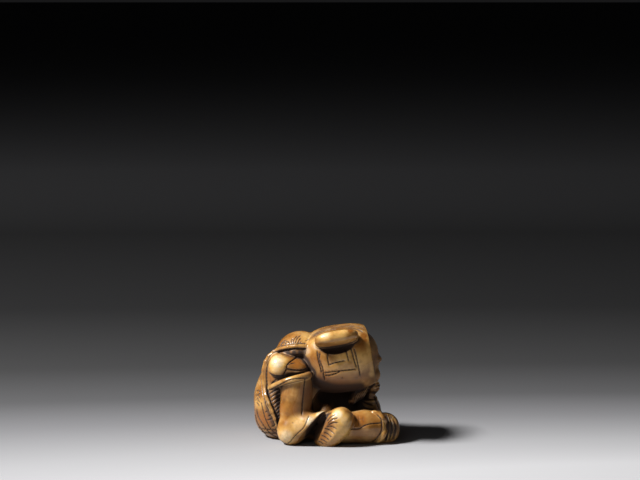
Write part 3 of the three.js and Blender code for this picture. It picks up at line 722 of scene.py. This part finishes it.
# strokes over the crown
engrave(
    hood,
    [(-3.4, -4.6), (-0.5, -4.0), (2.4, -4.2)],
    [(-3.0, -2.8), (0.4, -2.0), (3.2, -2.2)],
    [(1.4, -3.2), (4.6, -2.9), (7.4, -3.6)],
    [(-1.8, -1.0), (1.4, -0.1), (4.4, -0.2), (7.2, -1.2)],
    [(5.4, -4.8), (8.0, -4.8), (9.6, -5.8)],
    [(5.8, -1.8), (8.4, -2.6), (9.8, -3.8)],
    deep=0.28,
    wide=0.6,
    side="top",
)
# a braid down the back, and the line of the far flap
for shift in (0.0, 0.8):
    braid = [(1.0 + shift, 30.0), (-4.0 + shift, 27.4), (-6.0 + shift, 22.4), (-5.6 + shift, 17.4)]
    engrave(hood, braid, wide=0.36, stain=0.85, side="back")
far_line = [(-0.6, 26.2), (-1.2, 22.4), (-0.4, 18.8), (2.2, 17.8), (4.8, 18.8)]
engrave(flaps, far_line, wide=0.36, stain=0.85, side="back")

# A painted highlight along the edge of the rim, and painted light on the hood's lit left side and front, with
# wear.
tint("wear_and_painted_light", hood, *strip([(10.0, 27.4), (10.9, 23.4), (11.7, 19.6), (12.3, 16.8)], 6, 0.8, 0.4))  # the rim
tint(
    "wear_and_painted_light",
    hood,
    *[(4.0, 18.5, 4.6, 0.3), (9.0, 20.5, 3.2, 0.45), (-5.4, 23.0, 1.5, 0.9), (-3.4, 24.4, 1.8, 0.6)],
    *[(4.4, 21.4, 2.8, 0.5), (12.0, 16.8, 0.9, 0.5), (-4.0, 18.4, 2.0, 0.6)],
)
# Dark patches: small dark marks by the braid; painted shade below the hood and under the near flap; and the
# front of the crown darkened.
tint(
    "hollow",
    hood,
    *[(-2.3, 22.0, 0.6, 0.45), (-1.9, 20.2, 0.5, 0.45), (-3.6, 21.2, 0.35, 0.45), (7.4, 22.0, 0.5, 0.45)],
    *[(-4.6, 21.8, 0.3, 0.45), (9.6, 17.0, 0.35, 0.45)],
    *strip([(-3.6, 15.0), (-0.6, 13.4), (2.4, 12.7), (5.6, 12.7), (8.8, 13.0)], 5, 2.6, 0.9),  # below
    *strip([(-3.6, 28.0), (-0.6, 29.6), (3.0, 30.4), (6.6, 30.4)], 4, 1.7, 0.75),  # before the crown
    *[(across + 0.4, 24.9 + 0.14 * across, 1.5, 0.8) for across in (-1.6, 0.6, 2.8, 5.0)],  # under the flap
)
tint("hollow", hood, *strip([(-3.6, -2.8), (0.4, -1.6), (4.4, -1.4), (8.8, -3.6)], 5, 3.0, 0.5), side="top")
# painted shade on the face of the rim, which lies in shade
tint("hollow", hood, (-3.0, 23.0, 5.0, 0.7), (-5.0, 18.0, 5.0, 0.7), side="right")  # the rim's face
tint(
    "amber",
    hood,
    *[(-4.6, 23.0, 2.4, 0.6), (-3.4, 19.4, 2.6, 0.8), (-1.0, 14.6, 3.0, 0.9), (3.0, 13.6, 4.0, 0.8)],
    *[(9.2, 24.6, 1.8, 0.7), (9.8, 27.0, 0.9, 1.5), (10.2, 25.8, 0.6, 1.4)],
)
tint("amber", flaps, (6.2, 28.3, 0.7, 1.5), (5.2, 28.8, 0.4, 1.2), (1.8, 28.2, 1.6, 0.3))
# Painted highlight on the lit top of the near flap, with wear.
tint("wear_and_painted_light", flaps, (-0.6, 27.6, 2.2, 0.8), (3.0, 28.0, 2.6, 0.5))


# ------------------------------------------------------------ the arm, hand and beard
# The left arm comes round inside its wide sleeve and props the head on its hand, and the beard falls over
# the wrist. The fingers and the strands of the beard are only lines, since they lie deep under the hood.
def arm(p):
    bent = [[1.4, 9.4, 17.0, 5.0], [6.8, 8.6, 10.6, 4.6], [10.4, 5.2, 6.6, 3.8], [12.2, 0.6, 4.6, 3.0]]
    sleeve = limb(p, bent, 2)
    cuff = meet(
        limb(p, [[10.6, 4.4, 5.4, 3.0], [11.4, 2.4, 11.0, 2.4]]),
        behind(p, [11.4, 2.4, 10.4], [0.1, -0.3, 1]),
        0.5,
    )
    return join(sleeve, cuff, 1.2)


def hand(p):
    wrist = limb(p, [[11.5, 2.6, 9.0, 1.3], [11.9, 2.6, 12.0, 1.4]])
    palm = lump(p, [12.2, 2.9, 13.4], [1.9, 2.6, 1.9], turned(0, 10, 28), 2.4)
    return join(wrist, palm, 0.6)


def beard(p):
    return limb(p, [[9.6, 2.6, 14.4, 2.6], [8.2, -0.4, 12.2, 2.0], [6.8, -2.6, 10.2, 1.0]], 1)


# folds of the sleeve, strands of the beard, and the gaps between the fingers
engrave(
    arm,
    [(8.6, 10.6), (10.2, 9.2), (12.4, 8.4)],
    [(9.0, 8.6), (10.8, 7.6), (13.0, 7.2)],
    [(12.6, 11.8), (13.2, 9.6), (14.2, 7.4)],
    deep=0.25,
    wide=0.5,
)
for k in range(5):
    start = 9.3 + 0.55 * k
    strand = [(start, 13.6), (start - 0.9, 12.2), (start - 1.7, 10.9), (start - 2.0 - 0.1 * k, 9.6)]
    engrave(beard, strand, wide=0.32)
for up in (12.1, 13.1, 14.1):
    gap = [(0.6, up - 0.3), (2.2, up), (4.4, up + 0.3)]
    engrave(hand, gap, deep=0.3, wide=0.42, stain=0.8, side="right")
# Painted shade on the sleeve and hand under the beard, and on the face inside the hood.
tint("hollow", arm, (10.0, 8.5, 3.2, 0.55), (13.0, 10.0, 2.6, 0.5))
tint("hollow", head, (12.6, 25.0, 4.0, 0.6), (13.2, 19.0, 4.5, 0.6))


# ------------------------------------------------------------ the cord holes
# Two drilled holes at the back meet inside, for the cord that the toggle hangs from. The upper one is wider,
# so that the cord's knot goes into it.
def cord_holes(p):
    way = [[-3.0, 17.5, 13.6, 1.9], [-3.0, 11.0, 11.8, 1.7], [-3.2, 10.2, 8.8, 1.5], [-3.4, 16.5, 5.6, 1.5]]
    return limb(p, way, 0.6)


# ------------------------------------------------------------ the carved block
# All the forms are one block of ivory, 39 mm across, sawn flat underneath. Its surface is followed through
# a fine grid, so that the graver's lines have material to bite into, and thinned once they are cut.
def carving(p):
    d = robe(p)
    d = join(d, arm(p), 1.2)
    d = cut(d, cord_holes(p), 0.5)
    d = join(d, raised_knee(p), 0.5)
    d = join(d, raised_boot(p), 0.5)
    d = join(d, folded_boot(p), 0.5)
    d = join(d, gather(p), 0.5)
    d = join(d, boot_ring(p), 0.3)
    d = join(d, join(hood(p), flaps(p), 0.6), 0.5)
    d = join(d, head(p), 0.4)
    d = join(d, beard(p), 0.6)
    d = join(d, hand(p), 0.5)
    return np.maximum(d, -p[2])


def measured(form, points, batch=300000):
    """The form's distance at 3 x N points, a batch at a time."""
    out = np.empty(points.shape[1], np.float32)
    for k in range(0, points.shape[1], batch):
        out[k : k + batch] = form(points[:, k : k + batch].astype(np.float32))
    return out


FINE = 0.15  # spacing at which the surface is followed
COARSE_CELLS = 4  # fine steps in one coarse step
HALF_THIN = 0.35  # a wall twice this thick could slip between the coarse points
LOWEST, HIGHEST = np.array([-20.6, -16.9, -0.75]), np.array([20.6, 16.9, 33.0])
CORNERS = [(a, b, c) for a in (0, 1) for b in (0, 1) for c in (0, 1)]


def follow(form):
    """The surface of a form: a vertex for each fine cell that it crosses and a quad for each fine edge."""
    coarse = FINE * COARSE_CELLS
    count = np.ceil((HIGHEST - LOWEST) / coarse).astype(int) + 1
    axis = [LOWEST[k] + coarse * np.arange(count[k]) for k in range(3)]
    grid = np.stack(np.meshgrid(*axis, indexing="ij")).reshape(3, -1)
    rough = measured(form, grid).reshape(count)
    near = np.abs(rough) < HALF_THIN
    corners = [tuple(slice(d, n - 1 + d) for d, n in zip(corner, count)) for corner in CORNERS]
    lowest = np.min([rough[corner] for corner in corners], axis=0)
    highest = np.max([rough[corner] for corner in corners], axis=0)
    crossed = ((lowest < 0) & (highest > 0)) | np.any([near[corner] for corner in corners], axis=0)
    value = rough[:-1, :-1, :-1]
    for k in range(3):
        value = np.repeat(value, COARSE_CELLS, k)
        crossed = np.repeat(crossed, COARSE_CELLS, k)
    wanted = np.zeros(np.array(value.shape) + 1, bool)
    for corner in CORNERS:
        wanted[tuple(slice(d, n + d) for d, n in zip(corner, crossed.shape))] |= crossed
    value = np.pad(value, (0, 1), mode="edge")
    at = np.array(np.nonzero(wanted))
    value[tuple(at)] = measured(form, LOWEST[:, None] + FINE * at)
    return surface_net(value)


def surface_net(value):
    """The vertices, each the mean of its cell's crossings, and a quad round each grid edge crossed."""
    shape = np.array(value.shape)
    solid = value < 0
    strides = np.array([shape[1] * shape[2], shape[2], 1])
    edges = []
    for k in range(3):
        here = tuple(slice(0, n - (1 if a == k else 0)) for a, n in enumerate(shape))
        there = tuple(slice(1 if a == k else 0, n) for a, n in enumerate(shape))
        cross = np.array(np.nonzero(solid[here] != solid[there]))
        a = value[here][tuple(cross)]
        b = value[there][tuple(cross)]
        t = a / (a - b)
        place = cross.astype(np.float64)
        place[k] += t
        i, j = [(1, 2), (2, 0), (0, 1)][k]
        whole = (cross[i] > 0) & (cross[j] > 0)
        cross, place, a = cross[:, whole], place[:, whole], a[whole]
        first = (cross * strides[:, None]).sum(0)
        ring = np.stack([first, first - strides[i], first - strides[i] - strides[j], first - strides[j]])
        ring[:, a > 0] = ring[::-1, a > 0]
        edges.append((ring, place))
    cells = np.concatenate([ring.reshape(-1) for ring, _ in edges])
    places = np.concatenate([np.tile(place, (1, 4)) for _, place in edges], axis=1)
    _, index = np.unique(cells, return_inverse=True)
    index = index.reshape(-1)
    many = np.bincount(index)
    points = np.stack([np.bincount(index, places[k]) / many for k in range(3)])
    faces, done = [], 0
    for ring, _ in edges:
        faces.append(index[done : done + ring.size].reshape(ring.shape).T)
        done += ring.size
    return LOWEST[:, None] + FINE * points, np.concatenate(faces)


def one_skin(points, faces):
    """Keeps the largest connected skin and drops the bubbles that the blends close in."""
    label = np.arange(points.shape[1])
    while True:
        least = label[faces].min(1)
        new = label.copy()
        for k in range(4):
            np.minimum.at(new, faces[:, k], least)
        new = new[new]
        new = new[new]
        if (new == label).all():
            break
        label = new
    names, many = np.unique(label[faces[:, 0]], return_counts=True)
    faces = faces[label[faces[:, 0]] == names[many.argmax()]]
    used = np.unique(faces)
    back = np.zeros(points.shape[1], int)
    back[used] = np.arange(used.size)
    return points[:, used], back[faces]


def slope(form, points, reach=0.06):
    """The unit normal and the steepness of a form's distance at each point."""
    points = points.astype(np.float32)
    parts = []
    for k in range(3):
        step = np.zeros((3, 1), np.float32)
        step[k] = reach
        parts.append((measured(form, points + step) - measured(form, points - step)) / (2 * reach))
    grade = np.stack(parts)
    steep = np.sqrt((grade * grade).sum(0)) + 1e-6
    return grade / steep, steep


def settle(form, points):
    """Brings the points down onto the form's surface, moving no further than half a step."""
    for _ in range(2):
        normal, steep = slope(form, points)
        move = np.clip(measured(form, points) / steep, -FINE / 2, FINE / 2)
        points = points - normal * move
    return points


points, faces = follow(carving)
points, faces = one_skin(points, faces)
points = settle(carving, points)
carved_low, carved_high = points.min(1), points.max(1)

# how each side is looked at: across, up, and towards the carver
SIDES = {
    "front": ((1, 0, 0), (0, LIFT, LEAN), (0, -LEAN, LIFT)),
    "back": ((1, 0, 0), (0, 0, 1), (0, 1, 0)),
    "top": ((1, 0, 0), (0, 1, 0), (0, 0, 1)),
    "left": ((0, 1, 0), (0, 0, 1), (-1, 0, 0)),
    "right": ((0, 1, 0), (0, 0, 1), (1, 0, 0)),
}
BLENDED = 0.45  # how far the blends lift the surface off a single form
TIP = 0.5  # a line thins out over its last half millimetre
BLUNT = 0.45  # how much of its depth is left at the very end


def on_side(points, normal, side):
    """The places of the points as that side sees them, and how far they face it: 0 edge on, 1 full."""
    across, up, toward = (np.array(way, float) for way in SIDES[side])
    return across @ points, up @ points, np.clip((toward @ normal - 0.06) / 0.24, 0, 1)


def near_line(across, up, course):
    """How far each place is from the line, and how far along it that is."""
    best = np.full(across.shape, 1e3)
    along = np.zeros(across.shape)
    run = 0.0
    for (a, b), (c, d) in zip(course[:-1], course[1:]):
        length = math.hypot(c - a, d - b)
        t = np.clip(((across - a) * (c - a) + (up - b) * (d - b)) / (length * length + 1e-9), 0, 1)
        far = np.hypot(across - a - t * (c - a), up - b - t * (d - b))
        closer = far < best
        best[closer] = far[closer]
        along[closer] = run + t[closer] * length
        run += length
    return best, along, run


def graver(points, normal):
    """How deep the lines cut at each point, and how dark their stain is."""
    depth, dark = np.zeros(points.shape[1]), np.zeros(points.shape[1])
    seen = {side: on_side(points, normal, side) for side in SIDES}
    for form, course, deep, wide, stain, side in lines:
        across, up, facing = seen[side]
        (left, bottom), (right, top) = course.min(0) - wide, course.max(0) + wide
        box = (facing > 0) & (across > left) & (across < right) & (up > bottom) & (up < top)
        at = np.nonzero(box)[0]
        if not at.size:
            continue
        at = at[np.abs(form(points[:, at].astype(np.float32))) < BLENDED + deep]
        far, along, run = near_line(across[at], up[at], course)
        far = far / (wide / 2)
        taper = np.clip(np.minimum(along, run - along) / TIP + BLUNT, 0, 1)
        taper = taper * (0.88 + 0.12 * np.sin(7 * along))  # the hand's unevenness
        taper = taper * np.clip(2 * facing[at], 0, 1)
        depth[at] = np.maximum(depth[at], deep * taper * np.clip(1 - far**2, 0, 1))
        dark[at] = np.maximum(dark[at], stain * taper * np.clip(1.35 - far, 0, 1))
    return depth, np.clip(dark, 0, 1)


normal, _ = slope(carving, points)
depth, _ = graver(points, normal)
points = points - normal * depth
mesh = bpy.data.meshes.new("netsuke_ivory")
mesh.vertices.add(points.shape[1])
mesh.vertices.foreach_set("co", np.ascontiguousarray(points.T, np.float32).reshape(-1))
mesh.loops.add(faces.size)
mesh.loops.foreach_set("vertex_index", faces.reshape(-1).astype(np.int32))
mesh.polygons.add(faces.shape[0])
mesh.polygons.foreach_set("loop_start", np.arange(0, faces.size, 4, dtype=np.int32))
mesh.polygons.foreach_set("loop_total", np.full(faces.shape[0], 4, np.int32))
mesh.update(calc_edges=True)
mesh.validate()
carved = bpy.data.objects.new("ivory_carving", mesh)
bpy.context.scene.collection.objects.link(carved)

TRIANGLES = 190000
thin = carved.modifiers.new("thin", "DECIMATE")
thin.ratio = min(1.0, TRIANGLES / (2 * len(mesh.polygons)))
thinned = bpy.data.meshes.new_from_object(carved.evaluated_get(bpy.context.evaluated_depsgraph_get()))
carved.modifiers.clear()
carved.data = thinned

# ------------------------------------------------------------ the stain, the polish and the painted light
# The finished carving was rubbed with a dark stain, which stays in the lines and small hollows, and polished.
# Handling then wore the high places pale and left amber patches. Painted shade darkens the wide hollows, the
# undersides and places that lie in shade, and painted light makes the lit places and highlights paler. Each
# point keeps how much of each it has.
CLOSE = (0.5, 1.2, 2.6)  # mm that each point is looked at from, for small hollows
PAINTED_SHADE_REACH = 6.0  # and for the large ones, which get painted shade
EDGE = 0.8  # what is thinner than this under the surface is an edge that wears
OLD_CLOUD, MOTTLE = 4.762 * MM, 1.111 * MM  # how wide the ivory's broad clouds and its fine mottle are

places = np.empty(len(thinned.vertices) * 3, np.float32)
thinned.vertices.foreach_get("co", places)
points = places.reshape(-1, 3).T.astype(np.float64)
normal, _ = slope(carving, points)


def openness(reach):
    """1 on open ground, 0 deep in a hollow about as wide as the reach."""
    return np.clip(measured(carving, points + normal * reach) / reach, 0, 1)


# Dark: dirt in the small hollows, and painted shade in the wide hollows and on the undersides.
close = 1 - sum(openness(reach) for reach in CLOSE) / 3
deep = 1 - openness(PAINTED_SHADE_REACH)
painted_underside_shade = np.clip(-0.15 - normal[2], 0, 1)  # painted shade: surfaces that face down are darkened
hollow = np.clip(close + 0.75 * np.clip(deep - 0.25, 0, 1) + 0.4 * painted_underside_shade, 0, 1)
wear_and_painted_light = np.clip(1 + measured(carving, points - normal * EDGE) / EDGE, 0, 1)
_, stain = graver(points, normal)
tones = {"wear_and_painted_light": wear_and_painted_light, "amber": np.zeros(points.shape[1]), "hollow": hollow, "stain": stain}
# the listed patches add painted light and painted shade as well as wear, dirt and amber
for tone, form, (across, up), size, amount, side in patches:
    here, there, facing = on_side(points, normal, side)
    far = np.hypot(here - across, there - up) / size
    at = np.nonzero((facing > 0) & (far < 1.4))[0]
    at = at[np.abs(form(points[:, at].astype(np.float32))) < 0.6]
    tones[tone][at] = np.maximum(tones[tone][at], amount * facing[at] * np.clip(1.4 - far[at], 0, 1))
for tone, amounts in tones.items():
    kept = thinned.attributes.new(tone, "FLOAT", "POINT")
    kept.data.foreach_set("value", amounts.astype(np.float32))

# set down in the middle of the solid's place
low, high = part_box("netsuke")
shift = [(low[k] + high[k]) / 2 / MM - (carved_low[k] + carved_high[k]) / 2 for k in range(2)] + [0]
placed = (points + np.array(shift)[:, None]) * MM
thinned.vertices.foreach_set("co", placed.T.astype(np.float32).reshape(-1))
thinned.update()
thinned.shade_smooth()


def polished_ivory():
    """Old elephant ivory, carved, stained and hand-polished: warm and waxy, clouded tan to gold, nearly
    cream on rubbed edges and where light is painted on, brown-black in the lines and in dirty hollows, darker
    where shade is painted on, with a soft gloss that the dark places lack."""
    made = bpy.data.materials.new("polished_ivory")
    made.use_nodes = True
    tree = made.node_tree
    tree.nodes.clear()
    place = node(tree, "ShaderNodeTexCoord").outputs["Object"]
    wear_and_painted_light, amber, hollow, stain = [
        node(tree, "ShaderNodeAttribute", attribute_name=tone).outputs["Fac"] for tone in tones
    ]
    clouds = node(
        tree,
        "ShaderNodeTexNoise",
        {"Vector": place, "Scale": 1 / OLD_CLOUD, "Detail": 3, "Roughness": 0.55},
    ).outputs["Fac"]
    mottle = node(
        tree,
        "ShaderNodeTexNoise",
        {"Vector": place, "Scale": 1 / MOTTLE, "Detail": 4, "Roughness": 0.6},
    ).outputs["Fac"]
    tan_to_gold = [(0.36, "7c5224"), (0.5, "a07036"), (0.64, "be9258")]
    colour = node(tree, "ShaderNodeValToRGB", {"Fac": clouds}, tan_to_gold).outputs["Color"]
    # the two pale mixes paint wear and painted light; the dark hollow mix paints dirt and painted shade
    for trace, stops, code in [
        (wear_and_painted_light, [(0.1, "000000"), (0.5, "f0f0f0")], "e0b268"),
        (wear_and_painted_light, [(0.5, "000000"), (0.95, "e8e8e8")], "f4e4c4"),
        (mottle, [(0.48, "000000"), (0.7, "a0a0a0")], "86582a"),
        (amber, [(0.0, "000000"), (1.0, "ffffff")], "905a26"),
        (hollow, [(0.15, "000000"), (0.5, "909090"), (0.85, "ffffff")], "301a0a"),
        (stain, [(0.0, "000000"), (1.0, "ffffff")], "1e0d06"),
    ]:
        amount = node(tree, "ShaderNodeValToRGB", {"Fac": trace}, stops).outputs["Color"]
        mixed = node(tree, "ShaderNodeMix", {0: amount, 6: colour, 7: linear(code)}, data_type="RGBA")
        colour = mixed.outputs[2]
    dirt = node(tree, "ShaderNodeMath", {0: stain, 1: hollow}, operation="MAXIMUM").outputs[0]
    dullness = node(
        tree,
        "ShaderNodeMapRange",
        {"Value": dirt, "From Min": 0.2, "From Max": 0.7, "To Min": 0.216, "To Max": 0.716},
    ).outputs["Result"]
    ivory = node(
        tree,
        "ShaderNodeBsdfPrincipled",
        {
            "Base Color": colour,
            "Roughness": dullness,
            "IOR": 1.54,
            "Subsurface Weight": 0.15,
            "Subsurface Radius": (1.0, 0.55, 0.25),
            "Subsurface Scale": 0.6 * MM,
        },
    )
    node(tree, "ShaderNodeOutputMaterial", {"Surface": ivory.outputs[0]})
    return made


carved.data.materials.clear()
carved.data.materials.append(polished_ivory())
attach(carved, "root")
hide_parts("netsuke")
